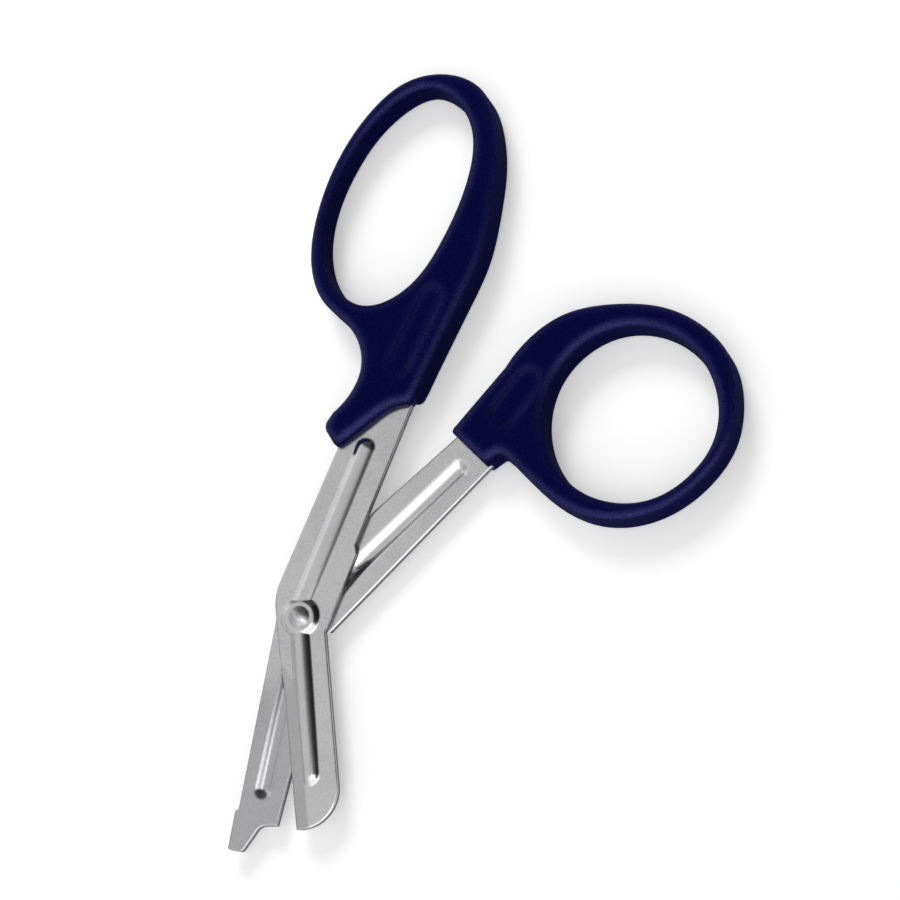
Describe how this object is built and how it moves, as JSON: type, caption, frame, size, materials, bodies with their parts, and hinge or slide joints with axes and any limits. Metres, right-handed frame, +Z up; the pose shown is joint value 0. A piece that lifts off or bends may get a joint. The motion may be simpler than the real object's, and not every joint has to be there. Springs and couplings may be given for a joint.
{
  "type": "bandage scissors",
  "caption": "Cranked bandage scissors with a blunt probe on the lower blade, pressed stiffening beads, a domed rivet and two moulded plastic finger loops.",
  "frame": {"origin": "middle of the underside of the whole box, on the surface that the handles lie on", "axes": "+Z up, along the pivot's axis towards the rivet's domed head; +Y from the blades towards the handles; +X to the side that the short handle is on"},
  "size_m": [0.1186, 0.1886, 0.009],
  "materials": {
    "steel": "satin, finely brushed",
    "navy_plastic": "moulded, slightly glossy on rounded rims"
  },
  "bodies": {
    "front_half": {"front_blade": "steel", "front_handle": "navy_plastic", "pivot_rivet": "steel"},
    "rear_half": {"rear_blade": "steel", "rear_handle": "navy_plastic"}
  },
  "joints": [
    {"name": "pivot", "type": "hinge", "parent": "front_half", "child": "rear_half", "pos_m": [-0.0443, -0.03991, 0.0045], "axis": [0, 0, 1], "range_deg": [-75, 12.8]}
  ]
}
